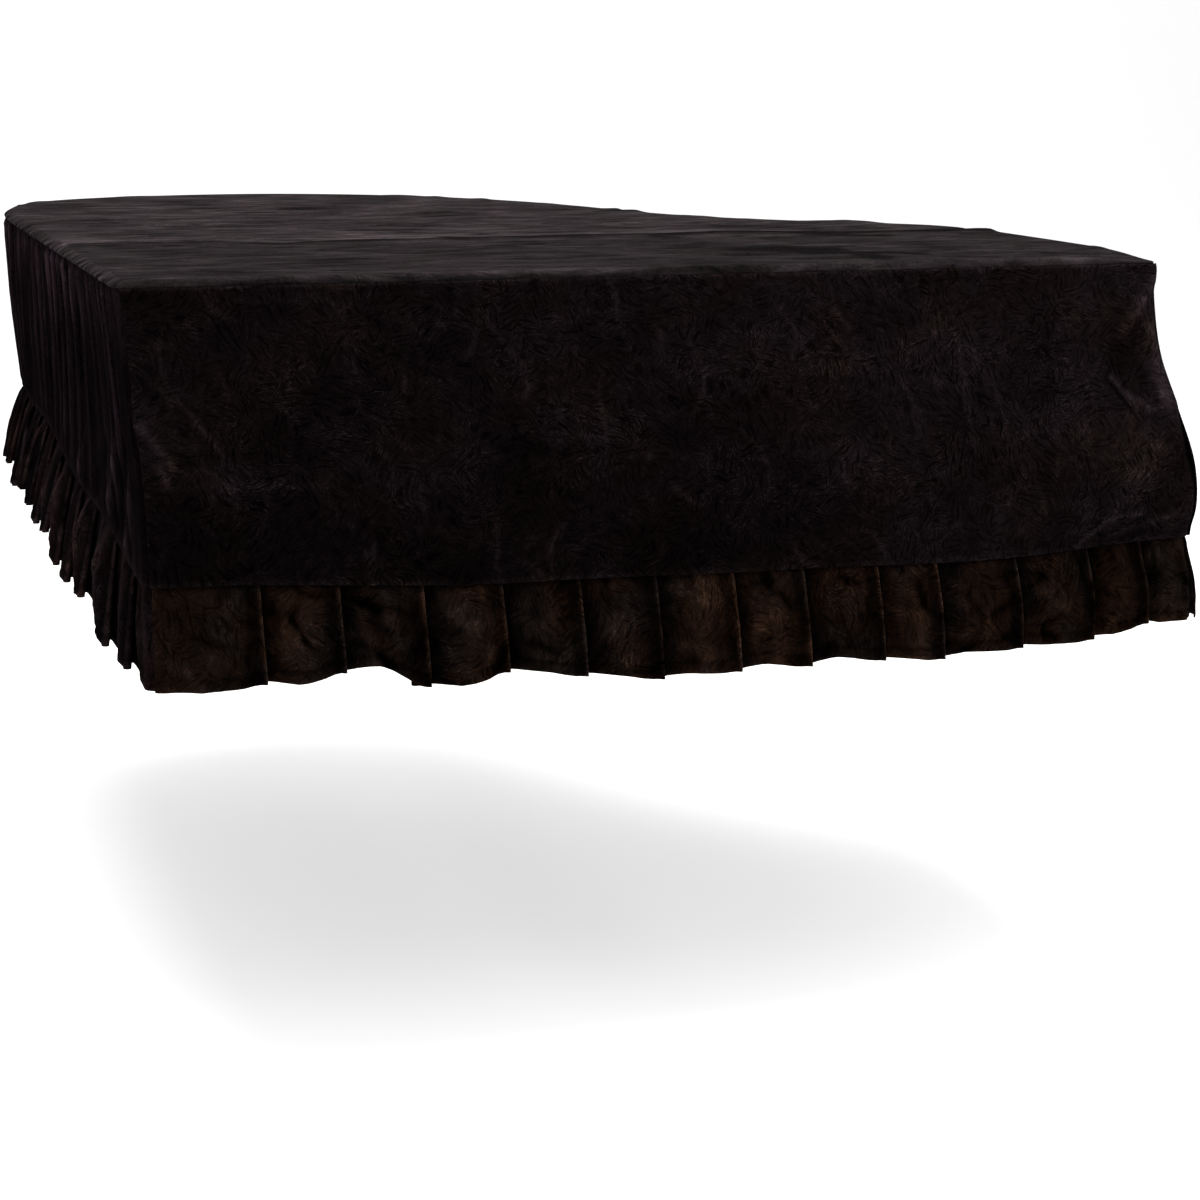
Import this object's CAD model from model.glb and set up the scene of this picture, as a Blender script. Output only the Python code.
"""Grand piano cover of black crushed velvet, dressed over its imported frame.

Metres, +Z up. The front is at -Y, the tail at +Y and the straight spine side at -X.
"""
import math

import bpy
import numpy as np
from mathutils import Matrix, Vector


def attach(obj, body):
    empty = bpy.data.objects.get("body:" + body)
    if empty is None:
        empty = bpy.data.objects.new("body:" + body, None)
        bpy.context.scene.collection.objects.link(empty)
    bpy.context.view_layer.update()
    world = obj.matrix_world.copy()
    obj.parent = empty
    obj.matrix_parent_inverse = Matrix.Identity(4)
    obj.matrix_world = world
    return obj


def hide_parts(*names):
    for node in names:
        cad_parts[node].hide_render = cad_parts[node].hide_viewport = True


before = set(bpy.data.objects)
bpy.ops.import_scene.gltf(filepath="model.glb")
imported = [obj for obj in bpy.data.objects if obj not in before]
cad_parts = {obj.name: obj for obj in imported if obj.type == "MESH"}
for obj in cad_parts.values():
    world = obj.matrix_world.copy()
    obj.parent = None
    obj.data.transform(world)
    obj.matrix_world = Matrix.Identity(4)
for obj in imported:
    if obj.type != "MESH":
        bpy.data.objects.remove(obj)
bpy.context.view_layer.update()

# Top panel
# The cover's top is one piece of crushed velvet cut to a wing shape. It lies flat, rolls over
# the edge by a finger's width and is sewn there to the four hanging bands. Along the gathered
# sides the seam allowance under it stands up as a lumpy roll.
CLOTH = 0.002  # thickness of the velvet with its pile
SEAM_GAP = 0.0003  # between two pieces that are sewn edge to edge
RIM_RADIUS = 0.011
FRONT_Y = -0.62  # the straight front edge
LEFT_X = -0.742
RIGHT_X = 0.745
LEFT_CORNER_RADIUS = 0.014
RIGHT_CORNER_RADIUS = 0.022
CORNER_POINTS = 9
EDGE_STEP = 0.004

# The turns of the edge from the right side round the tail to the spine.
# Columns: x, y behind the front edge.
TURNS = (
    (0.738, 0.30),
    (0.728, 0.46),
    (0.695, 0.585),
    (0.610, 0.665),
    (0.500, 0.745),
    (0.395, 0.850),
    (0.320, 0.985),
    (0.268, 1.140),
    (0.195, 1.290),
    (0.080, 1.430),
    (-0.070, 1.530),
    (-0.240, 1.575),
    (-0.420, 1.555),
    (-0.570, 1.498),
    (-0.670, 1.405),
    (-0.719, 1.270),
    (-0.732, 1.100),
)

# Where the hanging bands are sewn to each other.
# Columns: name, x, y behind the front edge.
SEAMS = (
    ("front", -0.742, 0.0),
    ("bent_side", 0.745, 0.0),
    ("tail", 0.268, 1.14),
    ("spine", -0.719, 1.27),
)

# Folds of the top.
# Columns: x and y of one end, x and y of the other, half width, height.
# y is behind the front edge. The first three are one long crease from side to side.
TOP_FOLDS = (
    (-0.720, 0.500, 0.720, 0.462, 0.016, 0.0040),
    (-0.720, 0.535, 0.720, 0.500, 0.018, -0.0035),
    (-0.700, 0.518, 0.700, 0.481, 0.006, -0.0012),
    (0.160, 0.250, 0.360, 0.225, 0.030, 0.0030),
    (0.120, 0.170, 0.300, 0.130, 0.026, -0.0030),
    (0.240, 0.120, 0.330, 0.105, 0.012, 0.0020),
    (-0.600, 0.780, 0.250, 0.760, 0.030, 0.0030),
    (-0.640, 1.020, 0.180, 1.040, 0.032, 0.0030),
    (-0.560, 1.290, 0.080, 1.270, 0.030, 0.0030),
)

# Where the top's pile shows darker or lighter, as the folds above.
TOP_MARKS = (
    (-0.740, 0.508, 0.740, 0.470, 0.021, -0.90),
    (-0.720, 0.566, 0.400, 0.536, 0.030, 0.75),
    (-0.700, 0.470, 0.600, 0.436, 0.016, 0.25),
    (0.229, 0.245, 0.315, 0.156, 0.022, -1.00),
    (0.315, 0.190, 0.336, 0.069, 0.020, -1.00),
    (0.180, 0.215, 0.420, 0.110, 0.014, -0.60),
    (0.314, 0.524, 0.498, 0.403, 0.022, -0.85),
    (0.260, 0.640, 0.560, 0.560, 0.020, -0.45),
    (-0.560, 0.800, 0.100, 0.790, 0.025, -0.40),
    (-0.300, 1.050, 0.180, 1.030, 0.030, -0.35),
)
TOP_FRONT_SHADE = 0.38  # the part before the long crease is brushed the other way
CORNER_DIP = 0.009  # the top sinks over the right front corner
CORNER_DIP_REACH = 0.08
TOP_BACK = 1.42  # the last straight row, behind the front edge
TOP_ROWS = 180
TOP_COLUMNS = 176
TAIL_X = -0.24
TAIL_BOW_REACH = 0.45
TAIL_BOW_POWER = 1.5
RIM_RINGS = 9

ROLL_HEIGHT = 0.0036  # how far the seam's roll stands out
ROLL_LUMP = 0.0016
ROLL_TWIST = 0.042  # spacing of its slanting lumps
ROLL_SLANT = 120  # degrees down the rim in which the lumps shift by one
ROLL_AT = 74  # degrees down the rim
ROLL_WIDTH = 24
ROLL_END = 0.03  # how slowly the roll dies out beside the front
ROLL_LIGHT = (1.3, -0.1)  # what a lump and the whole roll add to the pile's light
RIM_SHADE = 0.5  # lost on the way down the rim
FLAT_FRONT = 0.05  # the creases open from the front edge to here
LONG_CREASE = (0.46, 0.50)  # where the brushing of the pile turns

# Creases strewn over the top, for the function creases.
TOP_CREASES = (190, (0.06, 0.26), (0.010, 0.022), (0.0005, 0.0018), 0, 7)

# The two sizes of crush marks in the pile.
# Columns: cells a metre, marks a metre, a mark's width as a share of its length.
BROAD_MARKS = (36.0, 250.0, 0.15)
CLOSE_MARKS = (85.0, 390.0, 0.20)

# How fine the pattern's other noises are, in waves a metre.
WARP_SCALE = 38.0
GATHERED_SCALE = 11.0
DRIFT_SCALE = 6.0
TINT_SCALE = 8.0
NAP_SCALE = 1500.0
WARP = 0.014  # how far the first of them pushes the marks about

PILE_LIMITS = (0.12, 4.0)
DARK_STEP = (0.11, 0.22)  # below the middle of the pattern, and the share of the colour there
LIGHT_STEP = (0.15, 1.15)  # above the middle, and the share there
BRIGHTEST = 5.0
PILE_ROUGHNESS = 0.88
SHEEN_ROUGHNESS = 0.34
VELVET_TOP = (0.0181, 0.0150, 0.0147, 1.0)


def corner(centre_x, centre_y, radius, start):
    """A quarter turn of a circle, counterclockwise from the angle start."""
    angle = np.radians(start) + np.linspace(0, math.pi / 2, CORNER_POINTS)
    return np.stack([centre_x + radius * np.cos(angle), centre_y + radius * np.sin(angle)], 1)


def smooth_run(points, steps=24):
    """A Catmull-Rom curve: between two points, the cubic whose slopes match its neighbours."""
    whole = np.vstack([2 * points[0] - points[1], points, 2 * points[-1] - points[-2]])
    t = np.linspace(0, 1, steps, endpoint=False)[None, :, None]
    a, b, c, d = (whole[k : len(whole) - 3 + k, None, :] for k in range(4))
    run = 0.5 * (2 * b + (c - a) * t + (2 * a - 5 * b + 4 * c - d) * t**2)
    run = run + 0.5 * (3 * b - a - 3 * c + d) * t**3
    return np.vstack([run.reshape(-1, 2), points[-1]])


def top_edge():
    """The top's edge as even points, counterclockwise from the left front corner."""
    left, right = LEFT_CORNER_RADIUS, RIGHT_CORNER_RADIUS
    line = np.vstack([
        corner(LEFT_X + left, left, left, 180),
        corner(RIGHT_X - right, right, right, 270),
        smooth_run(np.array(TURNS)),
    ])
    line = np.vstack([line, line[:1]])
    along = np.concatenate([[0], np.cumsum(np.linalg.norm(np.diff(line, axis=0), axis=1))])
    at = np.linspace(0, along[-1], int(along[-1] / EDGE_STEP), endpoint=False)
    even = np.stack([np.interp(at, along, line[:, k]) for k in range(2)], 1)
    for _ in range(2):
        even = 0.5 * even + 0.25 * (np.roll(even, 1, 0) + np.roll(even, -1, 0))
    ahead = np.roll(even, -1, 0) - np.roll(even, 1, 0)
    ahead = ahead / np.linalg.norm(ahead, axis=1)[:, None]
    return at, even, np.stack([ahead[:, 1], -ahead[:, 0]], 1), along[-1]


EDGE_AT, EDGE_POINTS, EDGE_OUT, EDGE_LENGTH = top_edge()


def on_edge(s, values):
    """Values that are known along the edge, read at the distance s."""
    s = np.mod(s, EDGE_LENGTH)
    at = np.append(EDGE_AT, EDGE_LENGTH)
    return np.stack([np.interp(s, at, np.append(v, v[:1])) for v in values.T], -1)


def distance_to(x, y):
    """How far along the edge the point nearest to x, y lies."""
    return EDGE_AT[np.argmin(np.hypot(EDGE_POINTS[:, 0] - x, EDGE_POINTS[:, 1] - y))]


def seam_span(name):
    """Where a band begins and ends along the edge."""
    at = {row[0]: distance_to(row[1], row[2]) for row in SEAMS}
    names = list(at)
    start, end = at[name], at[names[(names.index(name) + 1) % len(names)]]
    return start, end if end > start else end + EDGE_LENGTH


def soft_step(value, low, high):
    """0 below low, 1 above high and smooth between."""
    part = np.clip((value - low) / (high - low), 0, 1)
    return part * part * (3 - 2 * part)


def bell(distance, half_width):
    """A soft hump, 1 in its middle."""
    return np.exp(-((distance / half_width) ** 2))


def fold_height(table, a, b):
    """The sum of a table's folds: each is a bell of the distance to a straight line."""
    height = np.zeros(np.broadcast(a, b).shape)
    for a0, b0, a1, b1, half, rise in table:
        run_a, run_b = a1 - a0, b1 - b0
        along = ((a - a0) * run_a + (b - b0) * run_b) / (run_a**2 + run_b**2)
        near = np.clip(along, 0, 1)
        height += rise * bell(np.hypot(a - a0 - near * run_a, b - b0 - near * run_b), half)
    return height


def creases(a, b, seed, count, length, half_width, height, heading, spread):
    """Short ridges and furrows strewn over a cloth's coordinates a, b.

    Each is a bell across a slightly bent line that fades at both ends. Its place, length,
    width, height, heading in degrees and bend are drawn from even ranges.
    """
    draw = np.random.default_rng(seed)
    total = np.zeros(np.broadcast(a, b).shape)
    for _ in range(count):
        at_a, at_b = draw.uniform(a.min(), a.max()), draw.uniform(b.min(), b.max())
        turn = math.radians(heading + draw.uniform(-spread, spread))
        reach, wide = draw.uniform(*length), draw.uniform(*half_width)
        rise = draw.uniform(*height) * draw.choice((-1, 1))
        along = (a - at_a) * math.cos(turn) + (b - at_b) * math.sin(turn)
        across = (b - at_b) * math.cos(turn) - (a - at_a) * math.sin(turn)
        across = across - draw.uniform(-0.5, 0.5) * along**2 / reach
        total += rise * bell(across, wide) * np.exp(-((along / reach) ** 4))
    return total


def grid_quads(index):
    """Four-sided faces of a grid of point numbers, facing whoever sees its last row lowest."""
    corners = (index[1:, :-1], index[1:, 1:], index[:-1, 1:], index[:-1, :-1])
    return np.stack([c.ravel() for c in corners], 1)


def cloth_piece(name, points, quads, cloth, pile, thickness, side):
    """A sheet as an object: a fine surface made solid by a Solidify modifier.

    cloth holds each point's place on the uncut cloth, in metres, and becomes the UV map that
    the velvet's pattern follows. pile says how brightly each point's pile shows: above 1 where
    it is pressed or brushed open on a crest, below 1 down in a fold. side is -1 for a surface
    that is the outer face, 0 for the middle.
    """
    mesh = bpy.data.meshes.new(name)
    mesh.vertices.add(len(points))
    mesh.vertices.foreach_set("co", points.astype(np.float32).ravel())
    mesh.loops.add(quads.size)
    mesh.loops.foreach_set("vertex_index", quads.astype(np.int32).ravel())
    mesh.polygons.add(len(quads))
    mesh.polygons.foreach_set("loop_start", np.arange(0, quads.size, 4, dtype=np.int32))
    mesh.update(calc_edges=True)
    mesh.shade_smooth()
    layer = mesh.uv_layers.new(name="cloth")
    layer.data.foreach_set("uv", cloth[quads.ravel()].astype(np.float32).ravel())
    shown = mesh.attributes.new("pile", "FLOAT", "POINT")
    shown.data.foreach_set("value", np.clip(pile, *PILE_LIMITS).astype(np.float32).ravel())
    piece = bpy.data.objects.new(name, mesh)
    bpy.context.scene.collection.objects.link(piece)
    solid = piece.modifiers.new("thickness", "SOLIDIFY")
    solid.thickness = thickness
    solid.offset = side
    return piece


def join(tree, kind, values=(), links=(), **settings):
    """A shader node with its settings, its inputs' values and what is linked to them."""
    node = tree.nodes.new(kind)
    for name, value in settings.items():
        setattr(node, name, value)
    for name, value in values:
        node.inputs[name].default_value = value
    for name, socket in links:
        tree.links.new(socket, node.inputs[name])
    return node


def blend_sum(tree, terms):
    """The sum of sockets, each times its weight."""
    total = None
    for socket, weight in terms:
        part = join(tree, "ShaderNodeMath", [(1, weight)], [(0, socket)], operation="MULTIPLY")
        if total is None:
            total = part.outputs[0]
        else:
            links = [(0, total), (1, part.outputs[0])]
            total = join(tree, "ShaderNodeMath", (), links, operation="ADD").outputs[0]
    return total


def crush_marks(tree, cloth, cells, marks, slender):
    """Crushed pile: the cloth is cut into cells and in each the marks run their own way.

    A Voronoi cell's colour turns the coordinates about the cell's middle. They are then
    squeezed across the marks and looked up in a noise.
    """
    patch = join(
        tree, "ShaderNodeTexVoronoi", [("Scale", cells)], [("Vector", cloth)],
        voronoi_dimensions="2D",
    )
    hue = join(tree, "ShaderNodeSeparateColor", (), [("Color", patch.outputs["Color"])])
    angle = join(
        tree, "ShaderNodeMath", [(1, 2 * math.pi)], [(0, hue.outputs["Red"])], operation="MULTIPLY"
    )
    turned = join(
        tree, "ShaderNodeVectorRotate", (),
        [("Vector", cloth), ("Center", patch.outputs["Position"]), ("Angle", angle.outputs[0])],
        rotation_type="Z_AXIS",
    )
    squeezed = join(
        tree, "ShaderNodeMapping", [("Scale", (slender, 1.0, 1.0))],
        [("Vector", turned.outputs[0])],
    )
    noise = join(
        tree, "ShaderNodeTexNoise",
        [("Scale", marks), ("Detail", 2.0), ("Roughness", 0.5), ("Distortion", 0.25)],
        [("Vector", squeezed.outputs[0])],
    )
    return noise.outputs["Fac"]


def crest_lines(tree, marks, half_width):
    """Thin wriggling lines where a noise passes its middle value, fading on both sides."""
    line = join(tree, "ShaderNodeValToRGB", (), [("Fac", marks)])
    line.color_ramp.elements[0].position = 0.5 - half_width
    line.color_ramp.elements[1].position = 0.5 + half_width
    line.color_ramp.elements[1].color = (0.0, 0.0, 0.0, 1.0)
    line.color_ramp.elements.new(0.5).color = (1.0, 1.0, 1.0, 1.0)
    return line.outputs["Color"]


def patches(tree, cloth, scale, low, high, first, second):
    """Soft patches of two colours: a broad noise read between low and high."""
    noise = join(
        tree, "ShaderNodeTexNoise",
        [("Scale", scale), ("Detail", 3.0), ("Roughness", 0.6), ("Distortion", 0.4)],
        [("Vector", cloth)],
    )
    ramp = join(tree, "ShaderNodeValToRGB", (), [("Fac", noise.outputs["Fac"])])
    ramp.color_ramp.elements[0].position = low
    ramp.color_ramp.elements[1].position = high
    ramp.color_ramp.elements[0].color = first
    ramp.color_ramp.elements[1].color = second
    return ramp.outputs["Color"]


def times(tree, first, second):
    """The product of two sockets, colours or numbers."""
    return join(
        tree, "ShaderNodeVectorMath", (), [(0, first), (1, second)], operation="MULTIPLY"
    ).outputs[0]


def velvet(name, colour, tint, grain, grain_share, contrast, relief, sheen, sheen_tint):
    """Crushed velvet: a nearly black pile, matt, with a soft sheen where it is seen edge on.

    Crush marks of two sizes and a grain along or down the piece shade the pile, and along thin
    crests it is brushed open and shows light. The crests gather in patches. Patches of another
    tint, and the piece's own bright crests and dark folds, multiply the colour.
    grain is the pair of frequencies along and down the cloth, per metre, and contrast how
    sharply the pattern turns from dark to light.
    """
    made = bpy.data.materials.new(name)
    made.use_nodes = True
    tree = made.node_tree
    shader = tree.nodes["Principled BSDF"]
    cloth = join(tree, "ShaderNodeUVMap", uv_map="cloth").outputs["UV"]
    warp = join(
        tree, "ShaderNodeTexNoise", [("Scale", WARP_SCALE), ("Detail", 2.0)], [("Vector", cloth)]
    )
    moved = join(
        tree, "ShaderNodeVectorMath", [(1, (WARP, WARP, 0.0))],
        [(0, warp.outputs["Color"]), (2, cloth)], operation="MULTIPLY_ADD",
    ).outputs[0]
    broad = crush_marks(tree, moved, *BROAD_MARKS)
    close = crush_marks(tree, moved, *CLOSE_MARKS)
    black, white = (0.0, 0.0, 0.0, 1.0), (1.0, 1.0, 1.0, 1.0)
    grey = (0.25, 0.25, 0.25, 1.0)
    gathered = patches(tree, cloth, GATHERED_SCALE, 0.42, 0.62, grey, white)
    lines = times(tree, crest_lines(tree, broad, 0.035), gathered)
    fine_lines = crest_lines(tree, close, 0.04)
    drift = patches(tree, cloth, DRIFT_SCALE, 0.36, 0.66, black, white)
    ran = join(
        tree, "ShaderNodeMapping", [("Scale", (grain[0], grain[1], 1.0))], [("Vector", cloth)]
    )
    streaks = join(
        tree, "ShaderNodeTexNoise",
        [("Scale", 1.0), ("Detail", 5.0), ("Roughness", 0.68), ("Distortion", 0.5)],
        [("Vector", ran.outputs[0])],
    ).outputs["Fac"]
    nap = join(
        tree, "ShaderNodeTexNoise", [("Scale", NAP_SCALE), ("Detail", 1.0)], [("Vector", cloth)]
    ).outputs["Fac"]
    height = blend_sum(tree, [
        (broad, 1.0 - grain_share), (close, 0.35), (lines, 0.25), (streaks, grain_share),
        (nap, 0.08),
    ])
    bump = join(
        tree, "ShaderNodeBump", [("Strength", 0.9), ("Distance", relief)], [("Height", height)]
    )
    tree.links.new(bump.outputs["Normal"], shader.inputs["Normal"])
    shade = blend_sum(tree, [
        (broad, 0.6 * (1.0 - grain_share)), (streaks, 0.3 + 0.7 * grain_share), (drift, 0.12),
        (lines, 0.38 * (1.0 - grain_share)), (fine_lines, 0.16 * (1.0 - grain_share)),
    ])
    ramp = join(tree, "ShaderNodeValToRGB", (), [("Fac", shade)])
    dark_at, light_at = 0.5 - DARK_STEP[0] / contrast, 0.5 + LIGHT_STEP[0] / contrast
    steps = ((dark_at, DARK_STEP[1]), (light_at, LIGHT_STEP[1]), (1.0, BRIGHTEST))
    ramp.color_ramp.elements.new(light_at)
    for element, (position, factor) in zip(ramp.color_ramp.elements, steps):
        element.position = position
        element.color = tuple(c * factor for c in colour[:3]) + (1.0,)
    tints = patches(tree, cloth, TINT_SCALE, 0.42, 0.58, white, tint)
    tinted = times(tree, ramp.outputs["Color"], tints)
    own = join(tree, "ShaderNodeAttribute", attribute_name="pile")
    tree.links.new(times(tree, tinted, own.outputs["Fac"]), shader.inputs["Base Color"])
    shader.inputs["Roughness"].default_value = PILE_ROUGHNESS
    shader.inputs["Specular IOR Level"].default_value = 0.0
    shader.inputs["Sheen Weight"].default_value = sheen
    shader.inputs["Sheen Roughness"].default_value = SHEEN_ROUGHNESS
    shader.inputs["Sheen Tint"].default_value = sheen_tint
    return made


def top_height(x, y):
    """How far the top rises and falls at x and y behind the front edge."""
    dip = CORNER_DIP * bell(np.hypot(x - RIGHT_X, y), CORNER_DIP_REACH)
    return fold_height(TOP_FOLDS, x, y) - dip


def place_beside(y, side):
    """How far along the edge the spine side or the right side is at y behind the front."""
    middle = distance_to(TAIL_X, EDGE_POINTS[:, 1].max())
    on_side = EDGE_AT > middle if side == "left" else EDGE_AT < middle
    on_side = on_side & (EDGE_POINTS[:, 1] > 0.0)
    at, height = EDGE_AT[on_side], EDGE_POINTS[on_side, 1]
    order = np.argsort(height)
    return np.interp(y, height[order], at[order])


def seam_roll(s, turn):
    """How far the seam's roll stands out: a bell of the turn down the rim, with slanting lumps.

    It runs along the sides and the tail and dies out at the front, which is sewn flat.
    """
    start, end = seam_span("front")
    away = np.minimum(np.mod(s - end, EDGE_LENGTH), np.mod(start - s, EDGE_LENGTH))
    away = np.where(np.mod(s - start, EDGE_LENGTH) < end - start, 0.0, away)
    lumps = np.cos(2 * math.pi * (s / ROLL_TWIST + turn / ROLL_SLANT + 0.4 * np.sin(s * 23.0)))
    lumps = lumps * (0.6 + 0.4 * np.sin(s * 37.0 + 1.0))
    here = soft_step(away, 0.0, ROLL_END) * bell(turn - ROLL_AT, ROLL_WIDTH)
    light = ROLL_LIGHT[0] * lumps + ROLL_LIGHT[1]
    return here * (ROLL_HEIGHT + ROLL_LUMP * lumps), here * light


def make_top():
    """A grid of rows across the wing shape, then rings that roll over the edge.

    A row runs straight from side to side, and the last rows bow to follow the tail.
    """
    rows = np.linspace(0, TOP_BACK, TOP_ROWS)
    left, right = place_beside(rows, "left"), place_beside(rows, "right")
    front_start, front_end = seam_span("front")
    left[0], right[0] = front_start + EDGE_LENGTH, front_end
    front = np.linspace(front_start, front_end, TOP_COLUMNS)
    tail = np.linspace(left[-1], right[-1], TOP_COLUMNS)

    def inset(s):
        return on_edge(s, EDGE_POINTS) - on_edge(s, EDGE_OUT) * RIM_RADIUS

    across = np.linspace(0, 1, TOP_COLUMNS)[None, :, None]
    flat = inset(left)[:, None] * (1 - across) + inset(right)[:, None] * across
    share = np.clip(1 - (TOP_BACK - rows) / TAIL_BOW_REACH, 0, 1) ** TAIL_BOW_POWER
    flat = flat + (inset(tail) - flat[-1])[None] * share[:, None, None]
    flat[0] = inset(front)
    flat = flat[::-1]
    x, y = flat[..., 0], flat[..., 1]
    inside = soft_step(y, 0.0, FLAT_FRONT)
    height = top_height(x, y) + inside * creases(x, y, 11, *TOP_CREASES)
    before = 1 - soft_step(y, *LONG_CREASE)
    shown = 1.0 - TOP_FRONT_SHADE * before + fold_height(TOP_MARKS, x, y)
    pile = [shown.ravel()]
    points = [np.stack([x, y + FRONT_Y, CLOTH + height], -1).reshape(-1, 3)]
    cloth = [flat.reshape(-1, 2)]
    index = np.arange(x.size).reshape(x.shape)
    quads = [grid_quads(index)]
    rim = np.concatenate([index[-1, :-1], index[:0:-1, -1], index[0, :0:-1], index[:-1, 0]])
    s = np.concatenate([front[:-1], right[:-1], tail[:0:-1], left[:0:-1]])
    edge, away = on_edge(s, EDGE_POINTS), on_edge(s, EDGE_OUT)
    for k, turn in enumerate(np.linspace(0, 90, RIM_RINGS + 1)[1:]):
        angle = math.radians(turn)
        roll, roll_light = seam_roll(s, turn)
        out = RIM_RADIUS * (math.sin(angle) - 1) + roll
        place = edge + away * out[:, None]
        rise = top_height(place[:, 0], place[:, 1]) * math.cos(angle)
        drop = RIM_RADIUS * (1 - math.cos(angle)) - rise
        points.append(np.column_stack([place[:, 0], place[:, 1] + FRONT_Y, CLOTH - drop]))
        cloth.append(edge + away * (RIM_RADIUS * (angle - 1)))
        pile.append((1.0 - RIM_SHADE * turn / 90) * (1.0 + roll_light))
        ring = x.size + k * len(s) + np.arange(len(s))
        quads.append(np.stack([ring, np.roll(ring, -1), np.roll(rim, -1), rim], 1))
        rim = ring
    return cloth_piece(
        "top_velvet", np.concatenate(points), np.vstack(quads), np.concatenate(cloth),
        np.concatenate(pile), CLOTH, -1,
    )


top = make_top()
top.data.materials.append(velvet(
    "velvet_of_the_top", VELVET_TOP, (1.0, 0.95, 1.08, 1.0), grain=(9.0, 46.0),
    grain_share=0.7, contrast=1.5, relief=0.004, sheen=0.014, sheen_tint=(1.0, 0.90, 0.95, 1.0),
))
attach(top, "root")
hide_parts("top_panel")

# Gathered bands of the spine, the tail and the bent side
# Three straight strips of velvet, longer than the edge they hang from. They are drawn up to its
# length and sewn under the top's edge, so that fine gathers run down from the seam.

# How far the cloth hangs all round, from the top face down.
# Columns: x, y behind the front edge, drop of the seam, drop of the hem,
# how far the seam and the hem stand out from the edge.
HANG = (
    (-0.742, 0.00, 0.352, 0.476, 0.004, 0.008),
    (-0.250, 0.00, 0.376, 0.490, 0.002, 0.006),
    (0.100, 0.00, 0.382, 0.500, 0.002, 0.006),
    (0.450, 0.00, 0.392, 0.513, 0.003, 0.008),
    (0.742, 0.00, 0.384, 0.500, 0.006, 0.014),
    (0.734, 0.35, 0.376, 0.496, 0.008, 0.026),
    (0.440, 0.80, 0.358, 0.480, 0.004, 0.024),
    (0.195, 1.29, 0.330, 0.454, 0.000, 0.022),
    (-0.240, 1.57, 0.300, 0.424, -0.006, 0.020),
    (-0.715, 1.29, 0.292, 0.412, -0.016, 0.010),
    (-0.735, 0.85, 0.292, 0.422, -0.008, 0.018),
    (-0.742, 0.30, 0.322, 0.454, 0.002, 0.020),
)

# The front slopes forward on its way down from the seam.
# Columns: drop, how far forward at the left corner, in the middle, at the right corner.
LEAN = (
    (RIM_RADIUS + SEAM_GAP, 0.000, 0.000, 0.000),
    (0.07, 0.046, 0.040, 0.004),
    (0.14, 0.096, 0.084, 0.024),
    (0.21, 0.138, 0.124, 0.074),
    (0.28, 0.168, 0.154, 0.124),
    (0.34, 0.178, 0.168, 0.136),
    (0.39, 0.186, 0.176, 0.122),
    (0.45, 0.200, 0.190, 0.140),
    (0.53, 0.208, 0.198, 0.132),
)
LEAN_MIDDLE = (-0.2, 0.15)
LEAN_REACH = 0.55
UPRIGHT_GAP = 0.0005
LAP = 0.004  # each band's end passes behind the next one's start
LAP_DEPTH = 0.0027
LAP_TURN = (0.010, 0.003)  # before the seam, where the end begins and has finished to go back

# Slow waves round the cover.
# Columns: waves in one round, size, angle at the start.
SLACK = ((4, 0.004, 0.4),)
GATHER_DRIFT = ((5, 0.35, 0.0), (11, 0.22, 1.0))
GATHER_CHANGE = ((8, 0.28, 0.6),)
GATHER_TILT = ((6, 0.10, 0.0),)
GATHER_PITCH = 0.058
GATHER_DEPTH = 0.0045
GATHER_SIZE = 0.72
GATHER_LOSS = 0.35
GATHER_START = 0.035  # share of the band's height over which the gathers open
GATHERED_FROM = (0.02, 0.10)
BAND_LIP = 0.0012  # the lower seam's allowance lifts the band's last centimetre
HELD_FROM = 0.93  # from here down the lower seam draws the folds flat

# Finer gathers between the large ones.
# Columns: pitch, depth, drift, tilt towards the lower seam.
FINE_GATHERS = (
    (0.027, 0.0026, 0.45, 0.9),
    (0.013, 0.0012, 0.60, 1.6),
)

# Slanting folds of the spine band beside the front.
# Columns: distance behind the corner and drop of one end, the same of the other,
# half width, height.
SPINE_FOLDS = (
    (0.020, 0.215, 0.085, 0.325, 0.012, 0.0040),
    (0.060, 0.200, 0.150, 0.320, 0.013, -0.0035),
    (0.130, 0.210, 0.210, 0.318, 0.012, 0.0035),
    (0.200, 0.225, 0.300, 0.312, 0.013, -0.0030),
    (0.340, 0.235, 0.400, 0.305, 0.012, 0.0030),
)

PILE_RISE = 0.006  # a crest this high shows twice as light
SEAM_LIGHT = 1.8  # the pile stands open where the gathers leave the seam
SEAM_LIGHT_REACH = 0.07

FURROW_LIGHT = 0.35  # the pile's light in a furrow
SLOPE_LIGHT = 0.5
CREST_LIGHT = 1.6
LOWER_SEAM_LIGHT = 0.7

# Creases strewn over the bands, for the function creases.
SIDE_CREASES = (130, (0.02, 0.06), (0.006, 0.010), (0.0004, 0.0011), 90, 35)
NO_CREASES = 0.03  # beside an upright seam

BAND_FULLNESS = 1.3  # cloth to a length of seam
BAND_SPACING = 0.0031  # of the columns
BAND_ROWS = 51
VELVET_SIDE = (0.0034, 0.0022, 0.0024, 1.0)


def round_table(table, column, s):
    """A column of a table of places on the edge, blended smoothly all round."""
    rows = sorted((distance_to(row[0], row[1]), row[column]) for row in table)
    at, value = np.array(rows).T
    at = np.concatenate([[at[-1] - EDGE_LENGTH], at, [at[0] + EDGE_LENGTH]])
    value = np.concatenate([value[-1:], value, value[:1]])
    s = np.mod(s, EDGE_LENGTH)
    k = np.clip(np.searchsorted(at, s) - 1, 0, len(at) - 2)
    part = (s - at[k]) / (at[k + 1] - at[k])
    part = part * part * (3 - 2 * part)
    return value[k] * (1 - part) + value[k + 1] * part


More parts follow.
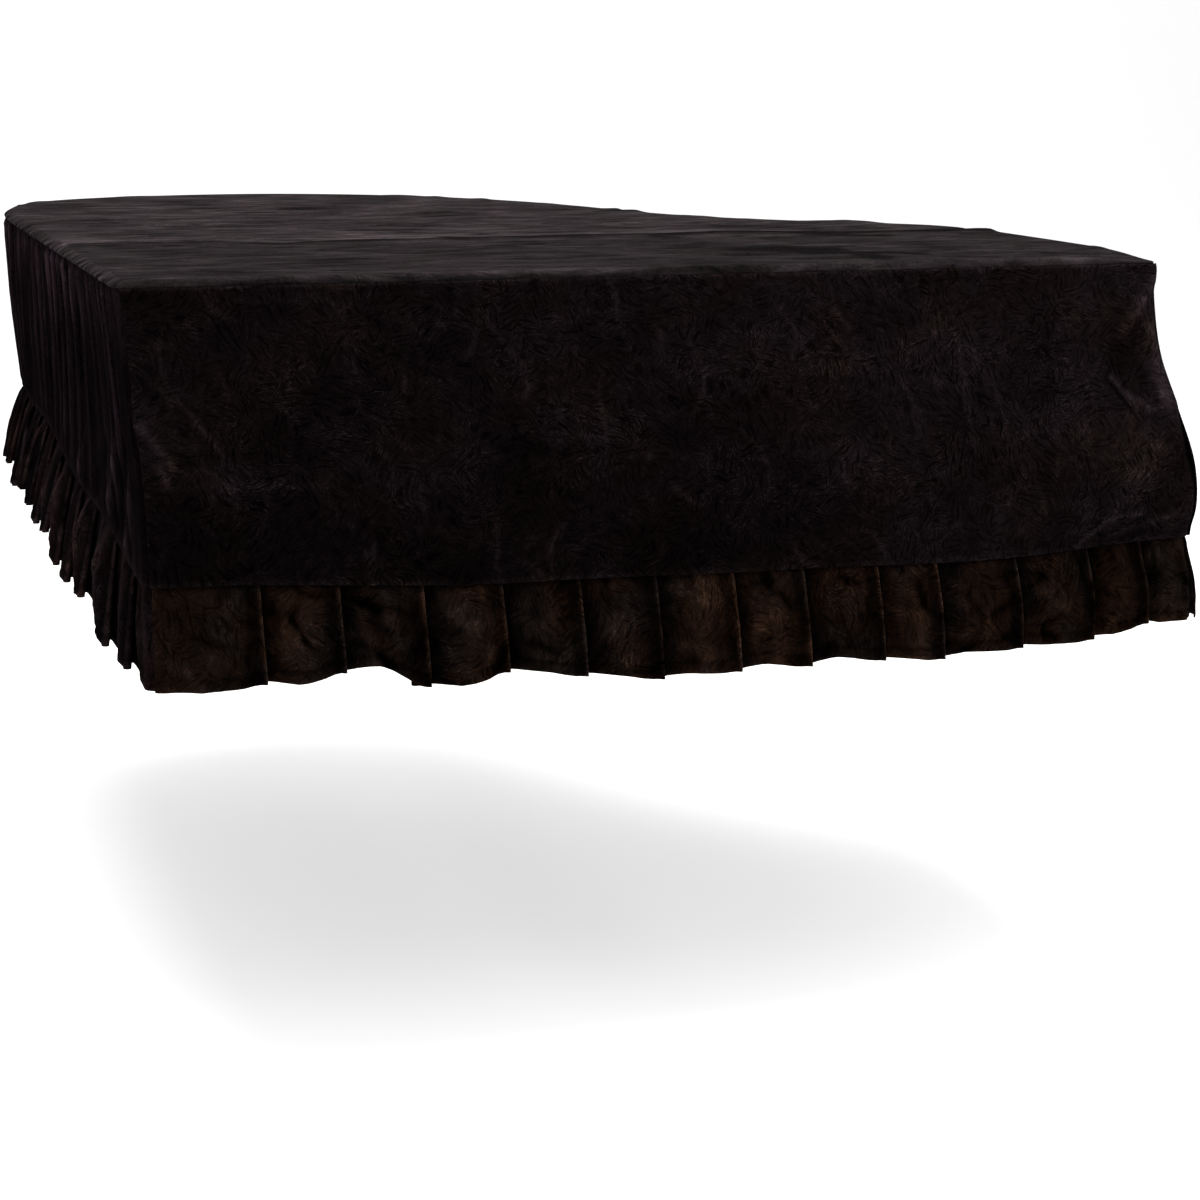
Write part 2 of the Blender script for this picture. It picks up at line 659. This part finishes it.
def slow_waves(table, s):
    """The sum of a table's waves, sines of the distance s that close after one round."""
    turn = 2 * math.pi * s / EDGE_LENGTH
    return sum(size * np.sin(count * turn + start) for count, size, start in table)


def through(x, at, value):
    """A smooth curve through a table's values: a cubic between each two of its rows."""
    slope = np.gradient(value, at)
    k = np.clip(np.searchsorted(at, x) - 1, 0, len(at) - 2)
    wide = at[k + 1] - at[k]
    t = (x - at[k]) / wide
    rise = value[k] + (value[k + 1] - value[k]) * t * t * (3 - 2 * t)
    return rise + wide * t * (1 - t) * (slope[k] * (1 - t) - slope[k + 1] * t)


def lean(x, y, drop):
    """How far forward the cloth lies at a drop below the point x, y of the edge."""
    table = np.array(LEAN)
    left, middle, right = (through(drop, table[:, 0], table[:, k]) for k in (1, 2, 3))
    to_right = soft_step(x, LEAN_MIDDLE[1], RIGHT_X)
    to_middle = soft_step(x, LEFT_X, LEAN_MIDDLE[0])
    forward = left * (1 - to_middle) + middle * to_middle
    forward = forward * (1 - to_right) + right * to_right
    return forward * (1 - soft_step(y, 0.0, LEAN_REACH))


def hanging_point(s, drop, out):
    """The place of cloth at a drop below the top's edge and out from it."""
    s, drop, out = np.broadcast_arrays(s, drop, out)
    point, outward = on_edge(s, EDGE_POINTS), on_edge(s, EDGE_OUT)
    x = point[..., 0] + outward[..., 0] * out
    y = point[..., 1] + outward[..., 1] * out - lean(point[..., 0], point[..., 1], drop)
    return np.stack([x, y + FRONT_Y, CLOTH - drop], -1)


def gathers(s, part):
    """Upright gathers: cosines of uneven width and depth that open below the top seam."""
    wave = s / GATHER_PITCH + slow_waves(GATHER_DRIFT, s) + slow_waves(GATHER_TILT, s) * part
    size = GATHER_SIZE + slow_waves(GATHER_CHANGE, s)
    open_share = np.clip(part / GATHER_START, 0, 1)
    depth = GATHER_DEPTH * size * (1 - GATHER_LOSS * part) * np.cos(2 * math.pi * wave)
    for k, (pitch, fine_depth, drift, tilt) in enumerate(FINE_GATHERS):
        wander = drift * np.sin(s * (19.0 + 8 * k)) + drift * np.sin(s * (47.0 + 5 * k) + 2.0)
        slant = tilt * part * np.sin(s * (9.0 + 4 * k) + 1.0)
        size = 0.65 + 0.35 * np.sin(s * (31.0 - 6 * k) + part * 3.0)
        ridge = 1 - 1.6 * np.abs(np.sin(math.pi * (s / pitch + wander + slant)))
        depth = depth + fine_depth * size * (1 - 0.45 * part) * ridge
    return open_share * depth


def band_drop(s, part):
    """The drop of a band, part of the way from the top seam to the lower one."""
    top_seam = RIM_RADIUS + SEAM_GAP
    return top_seam + (round_table(HANG, 2, s) - top_seam) * part


def band_out(s, part):
    """How far a band stands out: its hang, its slack and its lower seam's lip."""
    out = round_table(HANG, 4, s) * part + np.sin(math.pi * part) * slow_waves(SLACK, s)
    return out + BAND_LIP * bell(part - 1.0, 0.025)


def lapped(s, seam):
    """How far a band's end lies back so that it passes behind the next band."""
    return LAP_DEPTH * soft_step(s, seam - LAP_TURN[0], seam - LAP_TURN[1])


def held_flat(part):
    """1 on the band and 0 at its lower seam, where the folds end."""
    return 1 - soft_step(part, HELD_FROM, 1.0)


def gathered_band(name, spacing, seed, folds):
    """A grid from seam to seam whose columns hang down from the top's edge."""
    start, end = seam_span(name)
    seam, start, end = end, start + UPRIGHT_GAP / 2, end + LAP
    s = np.linspace(start, end, int((end - start) / spacing))[None, :]
    part = np.linspace(0, 1, BAND_ROWS)[:, None]
    y = on_edge(s, EDGE_POINTS)[..., 1]
    drop = band_drop(s, part)
    opened = soft_step(y, *GATHERED_FROM) * held_flat(part)
    ends = soft_step(np.minimum(s - start, seam - s), 0.0, NO_CREASES)
    gathered = opened * gathers(s, part)
    folded = held_flat(part) * fold_height(folds, EDGE_LENGTH - s, drop)
    crush = creases(s, drop, seed, *SIDE_CREASES)
    crush = crush * soft_step(part, 0.0, 0.1) * opened * ends
    shown = (gathered + folded + 1.5 * crush) / PILE_RISE
    pile = FURROW_LIGHT + SLOPE_LIGHT * shown + CREST_LIGHT * np.clip(shown, 0, 2) ** 2
    pile = pile * (1 + SEAM_LIGHT * bell(drop, SEAM_LIGHT_REACH))
    pile = pile + LOWER_SEAM_LIGHT * bell(part - 1, 0.02)
    out = band_out(s, part) + gathered + folded + crush - lapped(s, seam)
    cloth = np.stack(np.broadcast_arrays(s * BAND_FULLNESS, drop), -1).reshape(-1, 2)
    points = hanging_point(s, drop, out)
    quads = grid_quads(np.arange(drop.size).reshape(drop.shape))
    return cloth_piece(name + "_velvet", points.reshape(-1, 3), quads, cloth, pile, CLOTH, -1)


velvet_side = velvet(
    "velvet_of_the_sides", VELVET_SIDE, (1.0, 0.95, 1.15, 1.0), grain=(48.0, 3.5),
    grain_share=0.6, contrast=1.8, relief=0.003, sheen=0.004, sheen_tint=(1.0, 0.86, 0.92, 1.0),
)

# Columns: name, spacing of the columns, seed of its creases, its own folds,
# length and height of the strip before it was gathered.
SIDE_BANDS = (
    ("spine", 0.0026, 21, SPINE_FOLDS, (1.60, 0.33)),
    ("tail", BAND_SPACING, 22, (), (1.55, 0.32)),
    ("bent_side", BAND_SPACING, 23, (), (1.60, 0.37)),
)
for name, spacing, seed, folds, flat_size in SIDE_BANDS:
    band = gathered_band(name, spacing, seed, folds)
    band.data.materials.append(velvet_side)
    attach(band, "root")
    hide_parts(name + "_panel")

# Front band
# One strip of velvet as wide as the front, sewn under the top's edge without gathers. It slopes
# forward, is folded sharply at its right end and is crushed all over by being kept folded.

# Columns: x and drop of one end, x and drop of the other, half width, height.
FRONT_FOLDS = (
    (-0.735, 0.150, -0.655, 0.235, 0.020, 0.007),
    (-0.733, 0.166, -0.703, 0.216, 0.006, 0.0030),
    (-0.721, 0.211, -0.711, 0.227, 0.005, 0.0020),
    (0.735, 0.020, 0.690, 0.080, 0.022, 0.008),
    (0.728, 0.034, 0.674, 0.116, 0.008, 0.0035),
    (0.715, 0.085, 0.722, 0.200, 0.020, 0.009),
    (0.722, 0.130, 0.704, 0.208, 0.007, 0.0040),
    (0.655, 0.140, 0.685, 0.185, 0.022, -0.005),
    (0.642, 0.171, 0.664, 0.205, 0.006, -0.0030),
    (0.667, 0.188, 0.694, 0.209, 0.006, 0.0025),
    (0.545, 0.355, 0.625, 0.300, 0.024, 0.007),
    (0.546, 0.386, 0.588, 0.349, 0.008, 0.0030),
    (0.588, 0.349, 0.652, 0.345, 0.008, 0.0030),
    (0.600, 0.372, 0.700, 0.350, 0.007, 0.0025),
    (0.640, 0.360, 0.730, 0.270, 0.024, -0.007),
    (-0.640, 0.240, -0.300, 0.262, 0.026, 0.004),
    (-0.718, 0.234, -0.511, 0.244, 0.007, 0.0022),
    (-0.647, 0.299, -0.628, 0.333, 0.006, 0.0028),
    (-0.655, 0.305, -0.640, 0.330, 0.006, -0.0022),
    (-0.361, 0.320, -0.380, 0.345, 0.007, 0.0022),
    (0.200, 0.250, 0.520, 0.235, 0.030, 0.005),
)

# Where the front's pile shows lighter, as the folds above.
FRONT_MARKS = (
    (0.728, 0.034, 0.680, 0.100, 0.007, 2.2),
    (0.722, 0.100, 0.720, 0.200, 0.009, 2.8),
    (0.690, 0.060, 0.700, 0.110, 0.014, -0.5),
    (0.642, 0.171, 0.664, 0.205, 0.0045, -0.95),
    (0.648, 0.166, 0.672, 0.205, 0.0040, 2.2),
    (0.667, 0.188, 0.694, 0.209, 0.0040, 2.0),
    (0.545, 0.390, 0.590, 0.348, 0.004, 1.3),
    (0.588, 0.349, 0.652, 0.345, 0.004, 1.3),
    (0.600, 0.374, 0.700, 0.350, 0.004, 1.1),
    (-0.733, 0.166, -0.703, 0.216, 0.0040, 2.0),
    (-0.721, 0.211, -0.711, 0.227, 0.0040, 1.6),
    (-0.718, 0.234, -0.511, 0.244, 0.0035, 0.5),
    (0.640, 0.260, 0.720, 0.330, 0.040, 0.5),
)
FRONT_FOLD_REACH = 0.06

# Creases strewn over the front, more of them at its right, and light strokes of the pile,
# for the function creases.
FRONT_CREASES = (420, (0.008, 0.022), (0.005, 0.009), (0.0003, 0.0009), 80, 90)
RIGHT_CREASES = (220, (0.008, 0.024), (0.005, 0.008), (0.0003, 0.0010), 30, 90)
RIGHT_CREASES_FROM = (0.25, 0.6)
FRONT_STROKES = (70, (0.015, 0.05), (0.0032, 0.0045), (0.3, 1.0), 80, 40)
FRONT_SLOPE = 1.15  # cloth to a length of drop
FRONT_COLUMNS = 412
FRONT_ROWS = 96
VELVET_FRONT = (0.0029, 0.0019, 0.0018, 1.0)


def front_band():
    """A grid from corner to corner with folds put in by hand and short creases strewn over it."""
    start, end = seam_span("front")
    seam, start, end = end, start + UPRIGHT_GAP / 2, end + LAP
    s = np.linspace(start, end, FRONT_COLUMNS)[None, :]
    part = np.linspace(0, 1, FRONT_ROWS)[:, None]
    point = on_edge(s, EDGE_POINTS)
    x, y = point[..., 0], point[..., 1]
    drop = band_drop(s, part)
    flat_front = 1 - soft_step(y, 0.0, FRONT_FOLD_REACH)
    folded = flat_front * held_flat(part) * fold_height(FRONT_FOLDS, x, drop)
    ends = soft_step(np.minimum(s - start, seam - s), 0.0, NO_CREASES)
    inside = soft_step(part, 0.0, 0.08) * ends * held_flat(part)
    crush = creases(s, drop, 31, *FRONT_CREASES)
    right = creases(s, drop, 32, *RIGHT_CREASES) * soft_step(x, *RIGHT_CREASES_FROM)
    out = band_out(s, part) + folded + inside * (crush + right) - lapped(s, seam)
    raised = (fold_height(FRONT_FOLDS, x, drop) + 2.0 * crush) / PILE_RISE
    more = 0.45 * soft_step(x, -0.4, 0.7) - 0.3 * soft_step(drop, 0.15, 0.38) - 0.1
    strokes = creases(s, drop, 33, *FRONT_STROKES)
    pile = 1 + more + 0.35 * raised + fold_height(FRONT_MARKS, x, drop) + np.abs(strokes)
    pile = pile + bell(part - 1, 0.012) + 1.5 * bell(part, 0.008)
    cloth = np.stack(np.broadcast_arrays(s, drop * FRONT_SLOPE), -1).reshape(-1, 2)
    points = hanging_point(s, drop, out)
    quads = grid_quads(np.arange(drop.size).reshape(drop.shape))
    return cloth_piece("front_velvet", points.reshape(-1, 3), quads, cloth, pile, CLOTH, -1)


front = front_band()
front.data.materials.append(velvet(
    "velvet_of_the_front", VELVET_FRONT, (0.9, 0.95, 1.2, 1.0), grain=(50.0, 50.0),
    grain_share=0.1, contrast=1.0, relief=0.0015, sheen=0.006, sheen_tint=(1.0, 0.80, 0.90, 1.0),
))
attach(front, "root")
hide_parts("front_panel")

# Ruffles
# Each is a strip of velvet about half as long again as its band, laid in flat pleats and sewn
# under the band's lower edge. A pleat's right end lies on top, pressed to a crest, and runs back
# under. The pleats open towards the hem, which is turned up once and stitched.
FRILL_CLOTH = 0.0017
PLEAT_PITCH = 0.106
PLEAT_TUCK = 0.024
PLEAT_END = 0.082
TOP_SPACING = 0.0027  # between the middles of two layers at the seam
HEM_SPACING = 0.0085
PANEL_PUFF = 0.009

# A ruffle's first points and its last ones, which pass behind the next ruffle.
# Columns: distance past the seam, layer.
FIRST_POINTS = ((0.0, 0.6), (0.010, 0.6), (0.020, 0.6))
LAST_POINTS = ((-0.020, 0.6), (-0.012, 0.6), (-0.004, -0.4), (0.008, -0.4))
HEM_TURNING = 0.013  # height of the turned-up hem
HEM_DENT = 0.0009
OVERLAP = 0.004  # of the ruffle's top behind the band's lower edge
SET_BACK = 0.0032
SET_BACK_TO = (0.005, 0.014)  # below the ruffle's top
PUFF_FROM = 0.06

# Creases strewn over the ruffles, for the function creases.
FRILL_CREASES = (460, (0.008, 0.034), (0.004, 0.008), (0.0005, 0.0018), 70, 90)

# Unevenness of the side and tail pleats, a sine of the distance along the edge.
# Columns: size, radians a metre, angle at the start.
PLEAT_DRIFT = (0.012, 17.0, 0.0)
HEM_AT_FOLD = (0.009, 23.0, 0.7)
HEM_BEFORE_FOLD = (0.009, 31.0, 2.1)

# Pleats of the front ruffle.
# Columns: x of the fold's edge, extra drop of the hem at the edge, the same in the
# middle of the pleat to its left, how much that pleat puffs out.
FRONT_PLEATS = (
    (-0.606, -0.006, 0.002, 0.9),
    (-0.507, -0.016, -0.002, 1.1),
    (-0.398, 0.006, -0.021, 1.0),
    (-0.292, -0.007, 0.009, 1.5),
    (-0.188, 0.005, -0.003, 0.9),
    (-0.084, 0.013, 0.008, 1.0),
    (0.023, 0.007, 0.009, 1.1),
    (0.123, 0.006, 0.001, 0.9),
    (0.231, 0.003, -0.002, 1.2),
    (0.323, 0.005, 0.004, 0.9),
    (0.449, -0.001, 0.000, 1.0),
    (0.570, 0.004, 0.003, 1.1),
    (0.657, -0.006, 0.004, 1.7),
)

# The section of a pleat round its fold, from the panel that comes in on top to the
# one that leaves underneath.
# Columns: tucks, layer spacings and pitches from the edge, layer counted from the lowest,
# share of the panel's puff, share of the hem drop that belongs to the middle of a panel,
# how brightly the pile shows.
PLEAT_SECTION = (
    (0.0, 0.0, -0.60, 0.95, 0.9, 1.0, 1.2),
    (0.0, 0.0, -0.45, 1.50, 1.0, 0.8, 1.5),
    (-1.25, 0.0, 0.0, 2.20, 0.6, 0.4, 0.9),
    (-0.75, 0.0, 0.0, 2.00, 0.2, 0.1, 0.35),
    (-0.35, 0.0, 0.0, 1.85, 0.0, 0.0, 0.3),
    (-0.12, 0.0, 0.0, 2.25, 0.0, 0.0, 0.8),
    (0.0, -0.25, 0.0, 2.10, 0.0, 0.0, 4.0),
    (0.0, 0.0, 0.0, 1.50, 0.0, 0.0, 3.0),
    (0.0, -0.35, 0.0, 1.00, 0.0, 0.0, 0.5),
    (-1.0, 0.60, 0.0, 1.00, 0.0, 0.0, 0.2),
    (-1.0, 0.0, 0.0, 0.50, 0.0, 0.0, 0.2),
    (-1.0, 0.60, 0.0, 0.00, 0.0, 0.0, 0.2),
    (0.0, 0.0, 0.05, 0.00, 0.0, 0.0, 0.25),
    (0.0, 0.0, 0.14, 0.05, 0.1, 0.3, 0.6),
    (0.0, 0.0, 0.30, 0.45, 0.7, 0.8, 1.2),
)
VELVET_FRILL = (0.0036, 0.0024, 0.0020, 1.0)


def uneven(along, size, radians_a_metre, start):
    """A sine of the distance along the edge."""
    return size * np.sin(along * radians_a_metre + start)


def pleats(name):
    """Each pleat's fold, hem drop at it, hem drop before it and puff."""
    start, end = seam_span(name)
    if name == "front":
        table = np.array(FRONT_PLEATS)
        edges = np.array([distance_to(x, 0.0) for x in table[:, 0]])
        return edges, table[:, 1], table[:, 2], table[:, 3]
    count = int(round((end - start) / PLEAT_PITCH))
    edges = np.linspace(start + PLEAT_END, end - PLEAT_END, count)
    edges = edges + uneven(edges, *PLEAT_DRIFT)
    puff = 1.0 + 0.4 * np.sin(edges * 41.0)
    return edges, uneven(edges, *HEM_AT_FOLD), uneven(edges, *HEM_BEFORE_FOLD), puff


def pleated_section(name, spacing):
    """The ruffle seen from above as one line: place, rounding, layer, hem drop, puff and pile.

    Every pleat repeats the section's rows. The line is then cut into even steps and softened,
    each point moving halfway to the middle of its neighbours.
    """
    start, end = seam_span(name)
    start, end = start + UPRIGHT_GAP / 2, end - UPRIGHT_GAP / 2
    edges, at_edge, before, puff = pleats(name)
    after, puff_after = np.append(before[1:], 0.0), np.append(puff[1:], 1.0)
    tucks, spacings, pitches, layers, puffs, middle, shown = np.array(PLEAT_SECTION).T[:, None]
    pitch_before = np.diff(edges, prepend=start)[:, None]
    pitch_after = np.diff(edges, append=end)[:, None]
    pitch = np.where(pitches < 0, pitch_before, pitch_after)
    place = edges[:, None] + tucks * PLEAT_TUCK + pitches * pitch
    leaves = pitches > 0
    far_hem = np.where(leaves, after[:, None], before[:, None])
    hem = at_edge[:, None] * (1 - middle) + far_hem * middle
    swell = puffs * np.where(leaves, puff_after[:, None], puff[:, None])
    whole = np.broadcast_arrays(place, spacings, layers, hem, swell, shown)
    whole = np.stack(whole).reshape(6, -1)
    first, last = np.zeros((6, len(FIRST_POINTS))), np.zeros((6, len(LAST_POINTS)))
    for plain, points, seam in ((first, FIRST_POINTS, start), (last, LAST_POINTS, end)):
        plain[0], plain[2] = seam + np.array(points)[:, 0], np.array(points)[:, 1]
        plain[5] = 1.0
    line = np.concatenate([first, whole, last], axis=1)
    across = np.diff(line[0] + line[1] * TOP_SPACING)
    run = np.hypot(across, np.diff(line[2]) * TOP_SPACING)
    at = np.concatenate([[0], np.cumsum(run)])
    even = np.linspace(0, at[-1], int(at[-1] / spacing))
    line = np.stack([np.interp(even, at, row) for row in line])
    for _ in range(2):
        line[:, 1:-1] = 0.5 * line[:, 1:-1] + 0.25 * (line[:, 2:] + line[:, :-2])
    return line, even


def ruffle(name, spacing, rows, seed):
    """A grid: the pleated line from seam to hem, its layers spreading on the way down.

    The panels puff out halfway down and are crushed. The hem's turning is a step with a
    stitched dent above it.
    """
    (place, rounding, layer, hem, puff, shown), along = pleated_section(name, spacing)
    part = np.linspace(0, 1, rows)[:, None]
    opened = TOP_SPACING + (HEM_SPACING - TOP_SPACING) * part
    s = np.broadcast_to(place + rounding * TOP_SPACING, (rows, place.size))
    seam = round_table(HANG, 2, s) - OVERLAP
    length = round_table(HANG, 3, s) + hem - seam
    drop = seam + length * part
    seam_out, hem_out = round_table(HANG, 4, s), round_table(HANG, 5, s)
    out = seam_out - CLOTH / 2 - 2 * TOP_SPACING + (hem_out - seam_out) * part
    puffed = np.clip((part - PUFF_FROM) / (1 - PUFF_FROM), 0, 1) ** 0.85
    out = out + opened * layer + PANEL_PUFF * puff * np.sin(math.pi * puffed)
    out = out - SET_BACK * (1 - soft_step(length * part, *SET_BACK_TO))
    above_hem = length * (1 - part)
    out = out - HEM_DENT * bell(above_hem - HEM_TURNING, 0.002)
    out = out + 0.5 * HEM_DENT * (1 - soft_step(above_hem, 0.008, HEM_TURNING))
    laid = np.broadcast_to(along, s.shape)
    crush = creases(laid, drop, seed, *FRILL_CREASES)
    shown_crush = soft_step(part, 0.08, 0.2) * soft_step(layer, 0.1, 0.5) * (0.4 + 0.6 * puff)
    out = out + crush * shown_crush
    pile = shown * soft_step(part, -0.15, 0.12) * (1 + crush / PILE_RISE * 3.0)
    pile = pile * (1 - 0.5 * bell(above_hem - HEM_TURNING, 0.003)) + 0.8 * bell(above_hem, 0.003)
    cloth = np.stack([laid, drop], -1).reshape(-1, 2)
    points = hanging_point(s, drop, out)
    quads = grid_quads(np.arange(s.size).reshape(s.shape))
    return cloth_piece(name + "_frill", points.reshape(-1, 3), quads, cloth, pile, FRILL_CLOTH, 0)


velvet_front_frill = velvet(
    "velvet_of_the_front_ruffle", VELVET_FRILL, (1.6, 1.2, 0.9, 1.0), grain=(60.0, 25.0),
    grain_share=0.2, contrast=1.0, relief=0.0018, sheen=0.006, sheen_tint=(1.0, 0.84, 0.78, 1.0),
)
velvet_frill = velvet(
    "velvet_of_the_ruffles", VELVET_SIDE, (1.2, 1.0, 0.9, 1.0), grain=(60.0, 12.0),
    grain_share=0.35, contrast=1.4, relief=0.0022, sheen=0.004, sheen_tint=(1.0, 0.86, 0.9, 1.0),
)

# Columns: name, spacing of the columns, rows, seed of its creases,
# length and height of the strip.
FRILLS = (
    ("front", 0.0016, 27, 41, (2.20, 0.125)),
    ("spine", 0.0027, 24, 42, (2.20, 0.135)),
    ("tail", 0.0028, 24, 43, (2.10, 0.130)),
    ("bent_side", 0.0028, 24, 44, (2.15, 0.128)),
)
for name, spacing, rows, seed, flat_size in FRILLS:
    frill = ruffle(name, spacing, rows, seed)
    frill.data.materials.append(velvet_front_frill if name == "front" else velvet_frill)
    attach(frill, "root")
    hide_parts(name + "_ruffle")

# Studio
# A pale paper sweep stands under and behind the cover. The surround is white, the lamps are
# large and soft, and the camera looks down on the cover a little from the left.
FLOOR_Z = -1.018
SWEEP_DEPTH = 7.0  # where the paper begins to rise behind the cover
SWEEP_RADIUS = 3.0
SWEEP_HALF_WIDTH = 14.0
SWEEP_FRONT = -8.0
SWEEP_HEIGHT = 9.0
FLOOR_COLOUR = (0.93, 0.93, 0.93, 1.0)
FLOOR_GLOW = 0.15  # the paper is lit from behind

# Soft square lamps.
# Columns: name, place, what it is turned towards, side, power in watts.
LAMPS = (
    ("overhead", (0.0, 0.5, 4.6), (0.0, 0.3, -0.2), 5.0, 330.0),
    ("from_left", (-4.2, -1.6, 1.6), (-0.3, -0.5, -0.3), 1.8, 110.0),
    ("from_right", (4.0, -1.7, 1.0), (0.5, -0.6, -0.3), 1.8, 150.0),
)
SURROUND = 0.75

CAMERA_PLACE = (-1.24189, -3.79020, 0.31434)
CAMERA_YAW = 0.345659  # from +Y towards +X, in radians
CAMERA_PITCH = 0.221965  # downwards
CAMERA_ROLL = -0.00994657
CAMERA_LENS = 76.373  # on a sensor 36 mm wide


def sweep():
    """The floor and the wall behind as one sheet: a straight run, a quarter turn, a rise."""
    turn = np.linspace(0, math.pi / 2, 17)
    y = np.concatenate([[SWEEP_FRONT], SWEEP_DEPTH + SWEEP_RADIUS * np.sin(turn)])
    z = np.concatenate([[0.0], SWEEP_RADIUS * (1 - np.cos(turn))])
    y, z = np.append(y, y[-1]), np.append(z, SWEEP_HEIGHT) + FLOOR_Z
    points = np.stack([
        np.stack([np.full(y.shape, side * SWEEP_HALF_WIDTH), y, z], -1) for side in (-1, 1)
    ], 1)
    quads = grid_quads(np.arange(2 * len(y)).reshape(len(y), 2)[::-1])
    mesh = bpy.data.meshes.new("paper")
    mesh.from_pydata(points.reshape(-1, 3).tolist(), [], quads.tolist())
    mesh.shade_smooth()
    paper = bpy.data.materials.new("paper")
    paper.use_nodes = True
    shader = paper.node_tree.nodes["Principled BSDF"]
    shader.inputs["Base Color"].default_value = FLOOR_COLOUR
    shader.inputs["Roughness"].default_value = 0.9
    shader.inputs["Emission Color"].default_value = FLOOR_COLOUR
    shader.inputs["Emission Strength"].default_value = FLOOR_GLOW
    floor = bpy.data.objects.new("floor", mesh)
    floor.data.materials.append(paper)
    bpy.context.scene.collection.objects.link(floor)


def lamp(name, place, towards, side, power):
    """A square soft lamp turned to a point."""
    light = bpy.data.lights.new(name, "AREA")
    light.shape = "SQUARE"
    light.size = side
    light.energy = power
    item = bpy.data.objects.new(name, light)
    item.location = place
    item.rotation_euler = (Vector(towards) - Vector(place)).to_track_quat("-Z", "Y").to_euler()
    bpy.context.scene.collection.objects.link(item)


def camera():
    """The camera's axes: forward from yaw and pitch, then right and down turned by the roll."""
    yaw, pitch, roll = CAMERA_YAW, CAMERA_PITCH, CAMERA_ROLL
    forward = np.array([
        math.sin(yaw) * math.cos(pitch), math.cos(yaw) * math.cos(pitch), -math.sin(pitch)
    ])
    level = np.array([math.cos(yaw), -math.sin(yaw), 0.0])
    down = np.cross(forward, level)
    right = math.cos(roll) * level + math.sin(roll) * down
    down = math.cos(roll) * down - math.sin(roll) * level
    view = bpy.data.cameras.new("camera")
    view.lens = CAMERA_LENS
    view.sensor_width = 36.0
    view.clip_end = 100.0
    item = bpy.data.objects.new("camera", view)
    turn = Matrix(np.column_stack([right, -down, -forward]).tolist()).to_4x4()
    item.matrix_world = Matrix.Translation(CAMERA_PLACE) @ turn
    bpy.context.scene.collection.objects.link(item)
    bpy.context.scene.camera = item


sweep()
for row in LAMPS:
    lamp(*row)
camera()
world = bpy.data.worlds.new("surround")
world.use_nodes = True
world.node_tree.nodes["Background"].inputs["Color"].default_value = (1.0, 1.0, 1.0, 1.0)
world.node_tree.nodes["Background"].inputs["Strength"].default_value = SURROUND
bpy.context.scene.world = world
bpy.context.scene.view_settings.view_transform = "Standard"
